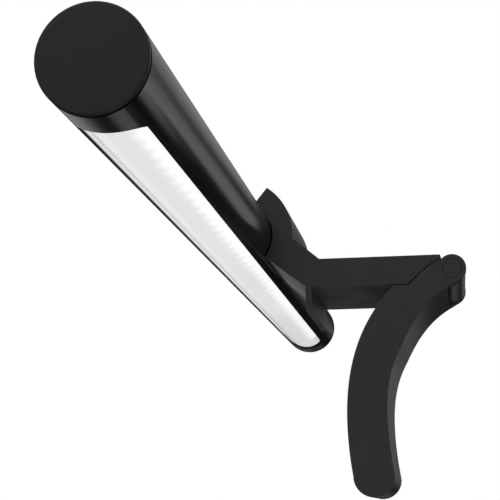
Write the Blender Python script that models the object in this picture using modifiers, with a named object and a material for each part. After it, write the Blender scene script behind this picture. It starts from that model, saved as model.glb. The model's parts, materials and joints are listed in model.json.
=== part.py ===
"""Monitor light bar: a round lamp bar, the bracket that carries it on a screen's top edge, and a sprung
counterweight that hangs behind the screen.

Frame: metres, +X along the bar, +Y towards the back of the screen, +Z up. The origin is the middle of the
bracket arm's underside, where the bracket rests on the screen's top edge.
"""

import math

import bmesh
import bpy
from mathutils import Matrix, Vector
from mathutils.geometry import interpolate_bezier

MM = 0.001
GAP = 0.3 * MM                       # left between pieces that touch

# Driving dimensions: the bar
BAR_LENGTH = 448.0 * MM
BAR_RADIUS = 12.5 * MM
BAR_WALL = 1.5 * MM
BAR_AXIS = Vector((0.0, -38.6 * MM, 18.89 * MM))
CAP_THICKNESS = 1.2 * MM
GASKET_THICKNESS = 0.6 * MM
WINDOW_ANGLES = (-138.0, -52.3)      # degrees about the bar's axis, 0 pointing back
WINDOW_REACH = 209.65 * MM           # from the bar's middle to the tip of each rounded end
WINDOW_END_RADIUS = 10.6 * MM        # of the rounded ends, measured on the tube's surface
DIFFUSER_RADIUS = 11.3 * MM
FLANGE_REACH = 211.5 * MM
LED_COUNT = 44
LED_PITCH = 9.0 * MM
PORT_X = -70.0 * MM
PORT_HEIGHT = 4.0 * MM               # above the bar's axis

# Driving dimensions: the bracket
BRACKET_HALF_WIDTH = 27.4 * MM
CRADLE_RADIUS = 19.7 * MM
SEAT_RADIUS = BAR_RADIUS + GAP
ARM_HEIGHT = 9.7 * MM
REST_END_Y = 12.0 * MM               # behind this the arm's underside steps up, clear of the counterweight
REST_STEP = 0.15 * MM
LIP_Y = (-14.8 * MM, -12.7 * MM)
LIP_DROP = 7.9 * MM
HINGE = Vector((0.0, 34.4 * MM, 4.98 * MM))
EAR_RADIUS = 4.7 * MM
KNUCKLE_RADIUS = 4.5 * MM
KNUCKLE_HALF_WIDTH = 21.7 * MM
EAR_INNER_X = 22.0 * MM
PIN_RADIUS = 1.5 * MM
MAGNET_SIZE = Vector((12.0, 3.0, 6.0)) * MM      # along the bar, radial, around the bar

# Driving dimensions: the counterweight
BLADE_WALL = 2.2 * MM
COVER_THICKNESS = 1.4 * MM
PAD_THICKNESS = 0.9 * MM

BLACK_PLASTIC = ((0.022, 0.022, 0.023), 0.55, 0.0)
BLACK_METAL = ((0.016, 0.016, 0.017), 0.34, 0.9)
MILKY_PLASTIC = ((0.86, 0.87, 0.88), 0.42, 0.0)
WHITE_PLASTIC = ((0.90, 0.90, 0.88), 0.50, 0.0)
BARE_METAL = ((0.58, 0.59, 0.61), 0.35, 1.0)
BLACK_RUBBER = ((0.018, 0.018, 0.018), 0.85, 0.0)
BOARD_GREEN = ((0.03, 0.16, 0.07), 0.45, 0.0)
BOARD_WHITE = ((0.80, 0.80, 0.76), 0.45, 0.0)

AXIS_TURNS = {                       # a prism's own X, Y and Z, as world directions
    "X": Matrix(((0, 0, 1), (1, 0, 0), (0, 1, 0))).to_4x4(),
    "Y": Matrix(((1, 0, 0), (0, 0, -1), (0, 1, 0))).to_4x4(),
    "Z": Matrix.Identity(4),
}


def clear_scene():
    for item in list(bpy.data.objects):
        bpy.data.objects.remove(item, do_unlink=True)


def new_collection(name):
    collection = bpy.data.collections.new(name)
    bpy.context.scene.collection.children.link(collection)
    return collection


clear_scene()
PARTS = new_collection("monitor_light_bar")
CUTTERS = new_collection("cutters")


# Helpers

def principled(name, look):
    colour, roughness, metallic = look
    material = bpy.data.materials.new(name)
    material.use_nodes = True
    shader = material.node_tree.nodes["Principled BSDF"]
    shader.inputs["Base Color"].default_value = (*colour, 1.0)
    shader.inputs["Roughness"].default_value = roughness
    shader.inputs["Metallic"].default_value = metallic
    return material


def add_object(name, mesh, look=None):
    """A named sub-part with its own material, or with no look a hidden cutter."""
    item = bpy.data.objects.new(name, mesh)
    if look is None:
        CUTTERS.objects.link(item)
        item.hide_render = True
        item.display_type = "WIRE"
    else:
        PARTS.objects.link(item)
        mesh.materials.append(principled(name, look))
    return item


def arc(centre, radius, start, end, steps):
    """Points (y, z) around centre, from the start angle to the end angle, in degrees."""
    angles = [math.radians(start + (end - start) * step / steps) for step in range(steps + 1)]
    return [(centre[0] + radius * math.cos(a), centre[1] + radius * math.sin(a)) for a in angles]


def circle(centre, radius, steps=32):
    return arc(centre, radius, 0.0, 360.0, steps)[:-1]


def box_outline(low, high):
    return [(low[0], low[1]), (high[0], low[1]), (high[0], high[1]), (low[0], high[1])]


def prism(name, outlines, low, high, look=None, axis="X"):
    """A flat outline, with any holes after it, filled and drawn out from low to high along the axis."""
    curve = bpy.data.curves.new(name, "CURVE")
    curve.dimensions = "2D"
    curve.fill_mode = "BOTH"
    curve.extrude = (high - low) / 2
    for outline in outlines:
        spline = curve.splines.new("POLY")
        spline.points.add(len(outline) - 1)
        for point, (u, v) in zip(spline.points, outline):
            point.co = (u, v, 0.0, 1.0)
        spline.use_cyclic_u = True
    drawn = bpy.data.objects.new(name + "_outline", curve)
    CUTTERS.objects.link(drawn)
    bpy.context.view_layer.update()
    evaluated = drawn.evaluated_get(bpy.context.evaluated_depsgraph_get())
    mesh = bpy.data.meshes.new_from_object(evaluated)
    bpy.data.objects.remove(drawn, do_unlink=True)
    middle = (low + high) / 2
    shift = middle * Vector((axis == "X", axis == "Y", axis == "Z"))
    mesh.transform(Matrix.Translation(shift) @ AXIS_TURNS[axis])
    weld_and_face_out(mesh)
    mesh.name = name
    return add_object(name, mesh, look)


def weld_and_face_out(mesh):
    shape = bmesh.new()
    shape.from_mesh(mesh)
    bmesh.ops.remove_doubles(shape, verts=shape.verts, dist=0.00001)
    bmesh.ops.recalc_face_normals(shape, faces=shape.faces)
    shape.to_mesh(mesh)
    shape.free()
    mesh.shade_smooth()
    mesh.set_sharp_from_angle(angle=math.radians(30))


def block(name, size, matrix, look=None):
    """A box of the given size, centred on the matrix's origin."""
    shape = bmesh.new()
    bmesh.ops.create_cube(shape, size=1.0, matrix=matrix @ Matrix.Diagonal((*size, 1.0)))
    mesh = bpy.data.meshes.new(name)
    shape.to_mesh(mesh)
    shape.free()
    return add_object(name, mesh, look)


def rod(name, radius, start, end, look=None, sides=24):
    """A round bar between two points."""
    along = end - start
    turn = Vector((0, 0, 1)).rotation_difference(along).to_matrix().to_4x4()
    shape = bmesh.new()
    bmesh.ops.create_cone(
        shape, cap_ends=True, segments=sides, radius1=radius, radius2=radius, depth=along.length,
        matrix=Matrix.Translation((start + end) / 2) @ turn)
    mesh = bpy.data.meshes.new(name)
    shape.to_mesh(mesh)
    shape.free()
    mesh.shade_smooth()
    mesh.set_sharp_from_angle(angle=math.radians(30))
    return add_object(name, mesh, look)


def combine(target, tool, operation="DIFFERENCE"):
    step = target.modifiers.new(operation.lower() + "_" + tool.name, "BOOLEAN")
    step.operation = operation
    step.solver = "EXACT"
    step.object = tool


def bevel(target, width, segments=2, angle=40.0):
    edges = target.modifiers.new("bevel", "BEVEL")
    edges.width = width
    edges.segments = segments
    edges.limit_method = "ANGLE"
    edges.angle_limit = math.radians(angle)


def turn_about(item, point):
    """Puts a moving piece's origin on its joint's axis."""
    item.data.transform(Matrix.Translation(-point))
    item.location = point


def around_bar(radius, degrees, x=0.0):
    """A point at this radius and angle about the bar's axis."""
    angle = math.radians(degrees)
    return BAR_AXIS + Vector((x, radius * math.cos(angle), radius * math.sin(angle)))


def radial_frame(radius, degrees, x):
    """A matrix at a point about the bar's axis, its Y pointing outwards."""
    turn = Matrix.Rotation(math.radians(degrees), 4, "X")
    return Matrix.Translation(around_bar(radius, degrees, x)) @ turn


BAR_CENTRE = (BAR_AXIS.y, BAR_AXIS.z)
HINGE_CENTRE = (HINGE.y, HINGE.z)


def at_bar(points):
    """Points given in millimetres from the bar's axis, as (y, z) in the part's frame."""
    return [(BAR_AXIS.y + y * MM, BAR_AXIS.z + z * MM) for y, z in points]


def ring_sector(inner, outer, start, end, steps):
    return arc(BAR_CENTRE, outer, start, end, steps) + arc(BAR_CENTRE, inner, end, start, steps)


# The bar

def rounded_column(name, inset):
    """A column through the bar, square to the window's middle, with the window's rounded ends."""
    middle = sum(WINDOW_ANGLES) / 2
    half = math.radians(WINDOW_ANGLES[1] - WINDOW_ANGLES[0]) / 2 * BAR_RADIUS
    turn = math.asin(half / WINDOW_END_RADIUS)
    centre = WINDOW_REACH - WINDOW_END_RADIUS
    outline = []
    for side in (-1, 1):
        for step in range(17):
            angle = turn * (step / 8 - 1)
            around = (WINDOW_END_RADIUS - inset) * math.sin(angle) / BAR_RADIUS
            x = centre + (WINDOW_END_RADIUS - inset) * math.cos(angle)
            outline.append((side * x, -side * BAR_RADIUS * math.sin(around)))
    column = prism(name, [outline], -20 * MM, 0.0, axis="Z")
    place = Matrix.Translation(BAR_AXIS) @ Matrix.Rotation(math.radians(middle + 90), 4, "X")
    column.data.transform(place)
    return column


def bar_tube():
    """The aluminium extrusion, open below for the diffuser and behind for the power inlet."""
    half = BAR_LENGTH / 2 - CAP_THICKNESS - GASKET_THICKNESS - 0.4 * MM
    outlines = [circle(BAR_CENTRE, BAR_RADIUS, 72), circle(BAR_CENTRE, BAR_RADIUS - BAR_WALL, 72)]
    tube = prism("bar_tube", outlines, -half, half, BLACK_METAL)
    sector = ring_sector(6 * MM, 15 * MM, *WINDOW_ANGLES, 16)
    window = prism("window_cutter", [sector], -WINDOW_REACH - GAP, WINDOW_REACH + GAP)
    combine(window, rounded_column("window_column", 0.0), "INTERSECT")
    combine(tube, window)
    inlet = block(
        "inlet_cutter", (9.8 * MM, 8 * MM, 4.0 * MM),
        Matrix.Translation(BAR_AXIS + Vector((PORT_X, 12 * MM, PORT_HEIGHT))))
    bevel(inlet, 1.2 * MM, 3)
    combine(tube, inlet)
    return tube


def diffuser():
    """A curved lens: its face fills the window, on a wider flange behind the window's edges."""
    flange = BAR_RADIUS - BAR_WALL - GAP
    low, high = WINDOW_ANGLES
    edge = math.degrees(GAP / DIFFUSER_RADIUS) + 0.2
    face_sector = ring_sector(10 * MM, DIFFUSER_RADIUS, low + edge, high - edge, 24)
    face = prism("diffuser_face", [face_sector], -WINDOW_REACH, WINDOW_REACH)
    combine(face, rounded_column("diffuser_column", GAP), "INTERSECT")
    flange_sector = ring_sector(9.5 * MM, flange, low - 4, high + 4, 24)
    lens = prism("diffuser", [flange_sector], -FLANGE_REACH, FLANGE_REACH, MILKY_PLASTIC)
    combine(lens, face, "UNION")
    return lens


def chassis():
    """The inner rail: a heat-spreading plate with two screw ports and the flange that holds the lights."""
    left_port = arc((-6.0, 4.2), 2.2, 219.5, -39.5, 10)
    right_port = arc((6.0, 4.2), 2.2, 219.5, -39.5, 10)
    outline = at_bar(
        [(-10.2, 1.4), (-10.2, 2.8)] + left_port + right_port
        + [(10.2, 2.8), (10.45, 1.1), (9.92, -3.6), (9.57, -4.13), (7.56, 1.4)])
    ports = [at_bar(circle((side * 6.0, 4.2), 1.3, 12)) for side in (-1, 1)]
    rail = prism("chassis", [outline] + ports, -213 * MM, 213 * MM, BARE_METAL)
    combine(rail, prism("keeper_relief", [ring_sector(9.3 * MM, 12 * MM, -11, 43, 8)], -21 * MM, 21 * MM))
    combine(rail, block(
        "inlet_relief", (13 * MM, 10 * MM, 6.6 * MM),
        Matrix.Translation(BAR_AXIS + Vector((PORT_X, 8 * MM, 4.3 * MM)))))
    return rail


def led_board():
    """A strip of light packages that looks forwards and down from the bar's rear edge."""
    tilt = Matrix.Rotation(math.radians(20), 4, "X")
    place = Matrix.Translation(BAR_AXIS + Vector((0, 7.6, -2.5)) * MM) @ tilt
    middle = place @ Matrix.Translation((0, 0.5 * MM, 0))
    board = block("led_board", Vector((412.0, 1.0, 5.0)) * MM, middle, BOARD_WHITE)
    shape = bmesh.new()
    for index in range(LED_COUNT):
        x = (index - (LED_COUNT - 1) / 2) * LED_PITCH
        at = place @ Matrix.Translation((x, -0.2 * MM, 0))
        size = Matrix.Diagonal((3.5 * MM, 1.0 * MM, 2.8 * MM, 1.0))
        bmesh.ops.create_cube(shape, size=1.0, matrix=at @ size)
    mesh = bpy.data.meshes.new("led_packages")
    shape.to_mesh(mesh)
    shape.free()
    combine(board, add_object("led_packages", mesh), "UNION")
    return board


def reflector():
    outline = at_bar([
        (5.8, 0.4), (5.8, 1.0), (-5.2, 1.0), (-8.2, -0.2),
        (-9.9, -2.8), (-9.3, -3.2), (-7.7, -0.7), (-5.0, 0.4)])
    return prism("reflector", [outline], -208 * MM, 208 * MM, WHITE_PLASTIC)


def circuit_board(name, x_low, x_high, half_width, parts, look):
    """A board on the screw ports, with its components as (x, y, length, width, height) in millimetres."""
    bottom, thickness = 6.9, 1.0
    middle = BAR_AXIS + Vector(((x_low + x_high) / 2, 0, bottom + thickness / 2)) * MM
    board = block(
        name, ((x_high - x_low) * MM, 2 * half_width * MM, thickness * MM), Matrix.Translation(middle), look)
    for number, (x, y, length, width, height) in enumerate(parts, 1):
        centre = BAR_AXIS + Vector((x, y, bottom + thickness + height / 2 - 0.2)) * MM
        size = Vector((length, width, height)) * MM
        combine(board, block(f"{name}_component_{number}", size, Matrix.Translation(centre)), "UNION")
    return board


def usb_port():
    """The power inlet's metal shell, with the contact tongue inside."""
    mouth, back = 11.2 * MM, 4.4 * MM
    centre = BAR_AXIS + Vector((PORT_X, (mouth + back) / 2, PORT_HEIGHT))
    shell = block("usb_c_port", (9.0 * MM, mouth - back, 3.2 * MM), Matrix.Translation(centre), BARE_METAL)
    height = centre.z
    hollow = box_outline((PORT_X - 4.2 * MM, height - 1.25 * MM), (PORT_X + 4.2 * MM, height + 1.25 * MM))
    tongue = box_outline((PORT_X - 3.3 * MM, height - 0.35 * MM), (PORT_X + 3.3 * MM, height + 0.35 * MM))
    depth_start = BAR_AXIS.y + back + 1.0 * MM
    combine(shell, prism("port_cutter", [hollow, tongue], depth_start, BAR_AXIS.y + 14 * MM, axis="Y"))
    return shell


def keeper_plate():
    """The steel plate behind the tube's wall that the cradle's magnets pull on."""
    outline = ring_sector(9.6 * MM, 10.6 * MM, -8, 40, 12)
    return prism("keeper_plate", [outline], -20 * MM, 20 * MM, BARE_METAL)


def power_lead():
    """The wire from the inlet to the driver board, along the channel between the screw ports."""
    route = [(-70.0, 3.2, 4.6), (-66.0, 2.2, 4.6), (-60.0, 0.6, 4.6), (-52.0, 0.0, 4.6), (20.0, 0.0, 4.6),
             (30.0, 0.0, 4.8), (35.0, 0.0, 5.8), (39.2, 0.0, 7.3)]
    curve = bpy.data.curves.new("power_lead", "CURVE")
    curve.dimensions = "3D"
    curve.bevel_depth = 0.8 * MM
    curve.bevel_resolution = 2
    curve.use_fill_caps = True
    spline = curve.splines.new("POLY")
    spline.points.add(len(route) - 1)
    for point, place in zip(spline.points, route):
        point.co = (*(BAR_AXIS + Vector(place) * MM), 1.0)
    item = bpy.data.objects.new("power_lead", curve)
    PARTS.objects.link(item)
    curve.materials.append(principled("power_lead", BLACK_RUBBER))
    return item


SCREW_PORTS = ((-6.0, 4.2), (6.0, 4.2))


def end_plug(side):
    """A disc inside the tube's end, screwed into the chassis, that carries the end cap's stub."""
    word = "right" if side > 0 else "left"
    plug = prism(
        f"end_plug_{word}", [circle(BAR_CENTRE, BAR_RADIUS - BAR_WALL - GAP, 36)],
        *sorted((side * 213.4 * MM, side * 219.4 * MM)), BLACK_PLASTIC)
    combine(plug, prism(
        f"stub_hole_{word}", [circle(at_bar([(0, -4)])[0], 4.0 * MM, 20)],
        *sorted((side * 216.0 * MM, side * 222.0 * MM))))
    for y, z in SCREW_PORTS:
        centre = at_bar([(y, z)])[0]
        combine(plug, prism(
            f"screw_hole_{word}", [circle(centre, 1.3 * MM, 12)],
            *sorted((side * 212.0 * MM, side * 222.0 * MM))))
        combine(plug, prism(
            f"head_hole_{word}", [circle(centre, 2.3 * MM, 12)],
            *sorted((side * 217.5 * MM, side * 222.0 * MM))))
    return plug


def end_plug_screws(side):
    word = "right" if side > 0 else "left"
    screws = []
    for number, (y, z) in enumerate(SCREW_PORTS, 1):
        name = f"end_plug_screw_{word}_{number}"
        at = BAR_AXIS + Vector((0, y * MM, z * MM))
        x = Vector((side * MM, 0, 0))
        screw = rod(name, 1.0 * MM, at + x * 206, at + x * 218.4, BARE_METAL, 12)
        combine(screw, rod(name + "_head", 2.0 * MM, at + x * 217.8, at + x * 219.2, sides=16), "UNION")
        combine(screw, rod(name + "_slot", 0.9 * MM, at + x * 218.6, at + x * 220, sides=6))
        screws.append(screw)
    return screws


def cap_gasket(side):
    """The dark ring that shows as a fine line between the tube and its cap."""
    start = BAR_LENGTH / 2 - CAP_THICKNESS - 0.2 * MM
    word = "right" if side > 0 else "left"
    return prism(
        f"cap_gasket_{word}", [circle(BAR_CENTRE, 12.0 * MM, 48), circle(BAR_CENTRE, 9.0 * MM, 48)],
        *sorted((side * start, side * (start - GASKET_THICKNESS))), BLACK_RUBBER)


def end_cap(side):
    word = "right" if side > 0 else "left"
    outer = side * BAR_LENGTH / 2
    inner = side * (BAR_LENGTH / 2 - CAP_THICKNESS)
    outline = circle(BAR_CENTRE, BAR_RADIUS, 72)
    cap = prism(f"end_cap_{word}", [outline], *sorted((outer, inner)), BLACK_PLASTIC)
    bevel(cap, 0.35 * MM, 1)
    stub = prism(
        f"stub_{word}", [circle(at_bar([(0, -4)])[0], 3.6 * MM, 20)],
        *sorted((side * 216.4 * MM, side * 223.4 * MM)))
    combine(cap, stub, "UNION")
    return cap


# The bracket

def bracket_outline():
    """The side view: the cradle's jaw, the neck, the arm that rests on the screen, and its front lip."""
    start, flare_start, flare_end = -37.0, 36.0, 57.6
    jaw = arc(BAR_CENTRE, SEAT_RADIUS, start, flare_start, 18)
    for step in range(1, 7):
        angle = flare_start + (flare_end - flare_start) * step / 6
        lift = 0.0024 * MM * (angle - flare_start) ** 2
        jaw.append(arc(BAR_CENTRE, SEAT_RADIUS + lift, angle, angle, 1)[0])
    back = arc(BAR_CENTRE, CRADLE_RADIUS, 55.6, -5.0, 16)
    neck_top = [(-9.98 * MM, ARM_HEIGHT)]
    arm_end = [
        (30.5 * MM, ARM_HEIGHT), (30.9 * MM, 8.6 * MM), (28.5 * MM, 7.5 * MM), (24.1 * MM, 4.42 * MM),
        (19.7 * MM, REST_STEP), (REST_END_Y, REST_STEP), (REST_END_Y, 0.0)]
    lip = [(LIP_Y[1], 0.0), (LIP_Y[1], -LIP_DROP), (LIP_Y[0], -LIP_DROP), (LIP_Y[0], 0.44 * MM)]
    neck_bottom = at_bar([(14.35, -11.32)])
    return jaw + back + neck_top + arm_end + lip + neck_bottom


def knuckle_outline():
    """The arm's middle, which reaches between the counterweight's ears and wraps the hinge pin."""
    turned = arc(HINGE_CENTRE, KNUCKLE_RADIUS, -135.0, 92.0, 24)
    return turned + [(25.0 * MM, 9.2 * MM), (22.0 * MM, 7.0 * MM), (25.4 * MM, 5.9 * MM)]


MAGNET_ANGLES = (-6.0, 24.0)
MAGNET_X = (-9.0 * MM, 9.0 * MM)
MAGNET_MIDDLE = 16.0 * MM            # the magnets' distance from the bar's axis


def bracket():
    body = prism("bracket", [bracket_outline()], -BRACKET_HALF_WIDTH, BRACKET_HALF_WIDTH, BLACK_PLASTIC)
    knuckle = prism("knuckle_body", [knuckle_outline()], -KNUCKLE_HALF_WIDTH, KNUCKLE_HALF_WIDTH)
    combine(body, knuckle, "UNION")
    bore_reach = KNUCKLE_HALF_WIDTH + 2 * MM
    combine(body, prism("knuckle_bore", [circle(HINGE_CENTRE, 3.0 * MM, 24)], -bore_reach, bore_reach))
    combine(body, prism(
        "liner_recess", [ring_sector(11 * MM, 14.1 * MM, -31, 41, 14)], -23.8 * MM, 23.8 * MM))
    pocket = MAGNET_SIZE + Vector((0.6, 4.0, 0.6)) * MM
    for row, degrees in enumerate(MAGNET_ANGLES, 1):
        for column, x in enumerate(MAGNET_X, 1):
            place = radial_frame(MAGNET_MIDDLE - 1.7 * MM, degrees, x)
            combine(body, block(f"magnet_pocket_{row}_{column}", pocket, place))
    return body


def seat_liner():
    """The thin low-friction lining that the bar rests on and turns against."""
    return prism(
        "seat_liner", [ring_sector(SEAT_RADIUS, SEAT_RADIUS + 1.0 * MM, -30, 40, 16)],
        -23.5 * MM, 23.5 * MM, BLACK_RUBBER)


def cradle_magnets():
    magnets = []
    for degrees in MAGNET_ANGLES:
        for x in MAGNET_X:
            name = f"cradle_magnet_{len(magnets) + 1}"
            magnets.append(block(name, MAGNET_SIZE, radial_frame(MAGNET_MIDDLE, degrees, x), BARE_METAL))
    return magnets


def hinge_bush(side):
    word = "right" if side > 0 else "left"
    return prism(
        f"hinge_bush_{word}", [circle(HINGE_CENTRE, 2.7 * MM, 24), circle(HINGE_CENTRE, 1.8 * MM, 24)],
        *sorted((side * 15.7 * MM, side * KNUCKLE_HALF_WIDTH)), WHITE_PLASTIC)


def torsion_spring():
    """The coil around the hinge pin that closes the counterweight on the screen."""
    turns, sides, coil_radius = 9, 12, 2.25 * MM
    half_width = 14.0 * MM
    curve = bpy.data.curves.new("torsion_spring", "CURVE")
    curve.dimensions = "3D"
    curve.bevel_depth = 0.3 * MM
    curve.bevel_resolution = 1
    curve.use_fill_caps = True
    spline = curve.splines.new("POLY")
    steps = turns * sides
    spline.points.add(steps)
    for step in range(steps + 1):
        angle = 2 * math.pi * step / sides
        x = half_width * (2 * step / steps - 1)
        around = Vector((x, coil_radius * math.cos(angle), coil_radius * math.sin(angle)))
        spline.points[step].co = (*(HINGE + around), 1.0)
    item = bpy.data.objects.new("torsion_spring", curve)
    PARTS.objects.link(item)
    curve.materials.append(principled("torsion_spring", BARE_METAL))
    return item


# The counterweight

def bezier(start, start_handle, end_handle, end, steps=28):
    """Points (y, z) along a curve whose four control points are in millimetres."""
    controls = [Vector((y, z, 0.0)) * MM for y, z in (start, start_handle, end_handle, end)]
    return [(p.x, p.y) for p in interpolate_bezier(*controls, steps)]


HOOK_TOP = -0.2                      # the height of the counterweight's top, in millimetres
FRONT_CURVE = bezier((14.87, HOOK_TOP), (1.84, -13.28), (-5.15, -31.55), (-0.25, -63.3))
REAR_CURVE = (
    bezier((37.04, 1.09), (33.25, -1.48), (25.14, -3.88), (17.7, -18.92), 16)
    + bezier((17.7, -18.92), (14.76, -24.85), (8.39, -32.82), (13.42, -63.3), 24)[1:])
TIP_CENTRE = (6.585 * MM, -63.3 * MM)
TIP_RADIUS = 6.835 * MM


def offset(points, distance):
    """The same curve moved sideways by the distance, towards the rear for a positive one."""
    moved = []
    for index, (y, z) in enumerate(points):
        before, after = points[max(index - 1, 0)], points[min(index + 1, len(points) - 1)]
        along = Vector((after[0] - before[0], after[1] - before[1])).normalized()
        moved.append((y - along.y * distance, z + along.x * distance))
    return moved


def between(points, top, bottom):
    """The stretch of a falling curve from the height top down to the height bottom, cut exactly."""
    kept = []
    for (y0, z0), (y1, z1) in zip(points, points[1:]):
        inside = bottom < z0 < top
        if inside:
            kept.append((y0, z0))
        for height in (top, bottom):
            if z0 > height >= z1:
                share = (z0 - height) / (z0 - z1)
                kept.append((y0 + (y1 - y0) * share, height))
    return kept


def blade_slab(front_offset, rear_offset, top, bottom, rear=None):
    """The outline between the front curve moved back and the rear (or front) curve moved back."""
    front = between(offset(FRONT_CURVE, front_offset), top, bottom)
    back = between(offset(rear or REAR_CURVE, rear_offset), top, bottom)
    return front + back[::-1]


def blade_outline():
    """The side view: the hooked top that meets the arm, the hinge ear, and the curved hanging blade."""
    ear = arc(HINGE_CENTRE, EAR_RADIUS, 135.3, -54.5, 24)
    tip = arc(TIP_CENTRE, TIP_RADIUS, 0.0, -180.0, 16)
    top = [
        (14.87 * MM, HOOK_TOP * MM), (19.95 * MM, HOOK_TOP * MM), (24.3 * MM, 4.15 * MM),
        (28.7 * MM, 7.22 * MM)]
    return top + ear + REAR_CURVE[:-1] + tip + FRONT_CURVE[-2:0:-1]


CAVITY = (-12.0 * MM, -61.5 * MM)    # top and bottom heights
CAVITY_HALF_WIDTH = 24.8 * MM
COVER_SCREWS = [(x * MM, z * MM) for x in (-15.0, 15.0) for z in (-32.0, -54.0)]


def front_at(height):
    """Where the blade's front curve stands at this height."""
    return between(FRONT_CURVE, height, height - 1 * MM)[0][0]


def counterweight_shell():
    half = BRACKET_HALF_WIDTH
    shell = prism("counterweight_shell", [blade_outline()], -half, half, BLACK_PLASTIC)
    notch = [(33.0, -1.4), (42.4, -10.1), (42.4, 12.0), (20.0, 12.0), (20.0, 10.4)]
    combine(shell, prism(
        "notch_cutter", [[(y * MM, z * MM) for y, z in notch]], -EAR_INNER_X, EAR_INNER_X))
    reach = BRACKET_HALF_WIDTH + 2 * MM
    combine(shell, prism("ear_bore", [circle(HINGE_CENTRE, PIN_RADIUS + GAP, 24)], -reach, reach))
    for side in (-1, 1):
        recess = circle(HINGE_CENTRE, 3.3 * MM, 32)
        combine(shell, prism("pin_cap_recess", [recess], *sorted((side * 26.0 * MM, side * reach))))
    cavity = blade_slab(-3 * MM, -BLADE_WALL, *CAVITY)
    combine(shell, prism("blade_cavity", [cavity], -CAVITY_HALF_WIDTH, CAVITY_HALF_WIDTH))
    return shell


def ballast():
    """The steel block that gives the counterweight its mass."""
    top, bottom = CAVITY[0] - GAP, CAVITY[1] + GAP
    outline = blade_slab(0.8 * MM + COVER_THICKNESS + GAP, -BLADE_WALL - GAP, top, bottom)
    half = CAVITY_HALF_WIDTH - GAP
    piece = prism("ballast", [outline], -half, half, BARE_METAL)
    for number, (x, z) in enumerate(COVER_SCREWS, 1):
        start = Vector((x, front_at(z), z))
        combine(piece, rod(
            f"ballast_hole_{number}", 1.3 * MM, start, start + Vector((0, 8.6 * MM, 0)), sides=16))
    return piece


def counterweight_cover():
    top, bottom = CAVITY[0] - GAP, CAVITY[1] + GAP
    outline = blade_slab(0.8 * MM, 0.8 * MM + COVER_THICKNESS, top, bottom, rear=FRONT_CURVE)
    half = CAVITY_HALF_WIDTH - GAP
    piece = prism("counterweight_cover", [outline], -half, half, BLACK_PLASTIC)
    for number, (x, z) in enumerate(COVER_SCREWS, 1):
        middle = Vector((x, front_at(z), z))
        reach = Vector((0, 5 * MM, 0))
        combine(piece, rod(f"cover_hole_{number}", 1.3 * MM, middle - reach, middle + reach, sides=16))
    return piece


def cover_screws():
    screws = []
    for number, (x, z) in enumerate(COVER_SCREWS, 1):
        name = f"cover_screw_{number}"
        start = Vector((x, front_at(z) + 1.1 * MM, z))
        along = Vector((0, 1 * MM, 0))
        screws.append(rod(name, 0.95 * MM, start, start + along * 6.6, BARE_METAL, 12))
    return screws


def grip_pad():
    """The silicone pad that presses on the back of the screen."""
    outline = blade_slab(-0.4 * MM, -0.4 * MM + PAD_THICKNESS, -13.0 * MM, -60.5 * MM, rear=FRONT_CURVE)
    piece = prism("grip_pad", [outline], -23.8 * MM, 23.8 * MM, BLACK_RUBBER)
    return piece


def hinge_pin():
    end = Vector((25.6 * MM, 0, 0))
    return rod("hinge_pin", PIN_RADIUS, HINGE - end, HINGE + end, BARE_METAL)


def pin_cap(side):
    word = "right" if side > 0 else "left"
    return prism(
        f"pin_cap_{word}", [circle(HINGE_CENTRE, 3.15 * MM, 32)],
        *sorted((side * 26.2 * MM, side * BRACKET_HALF_WIDTH)), BLACK_PLASTIC)


def build_bracket():
    bracket()
    seat_liner()
    torsion_spring()
    cradle_magnets()
    for side in (-1, 1):
        hinge_bush(side)


def build_bar():
    """Everything that turns in the cradle, with its origin on the bar's axis."""
    driver_parts = [(50, 0, 10, 8, 1.4), (70, 1, 6, 6, 1.2), (86, -1, 12, 5, 1.0), (112, 0, 8, 8, 1.3)]
    radio_parts = [(154, 0, 12, 8, 1.4)]
    pieces = [
        diffuser(), reflector(), keeper_plate(), usb_port(), led_board(),
        circuit_board("driver_board", 40, 130, 6.5, driver_parts, BOARD_GREEN),
        circuit_board("radio_module", 145, 168, 5.0, radio_parts, BOARD_GREEN),
        power_lead(), bar_tube(), chassis()]
    for side in (-1, 1):
        pieces += [end_plug(side), cap_gasket(side), end_cap(side), *end_plug_screws(side)]
    for piece in pieces:
        turn_about(piece, BAR_AXIS)


def build_counterweight():
    """Everything that swings on the hinge pin, with its origin on the pin's axis."""
    pieces = [
        counterweight_shell(), ballast(), counterweight_cover(), grip_pad(), *cover_screws(), hinge_pin()]
    pieces += [pin_cap(side) for side in (-1, 1)]
    for piece in pieces:
        turn_about(piece, HINGE)


build_bracket()
build_bar()
build_counterweight()
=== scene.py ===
"""Looks for the monitor light bar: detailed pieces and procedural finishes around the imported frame.

Everything is in metres in the row frame: +X along the bar, +Y to the back of the screen, +Z up, with the
origin in the middle of the arm's underside. Angles about the bar are in degrees: 0 points back, -90 down.
"""

import json
import math

import bmesh
import bpy
from mathutils import Matrix, Vector
from mathutils.geometry import delaunay_2d_cdt, interpolate_bezier


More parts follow.
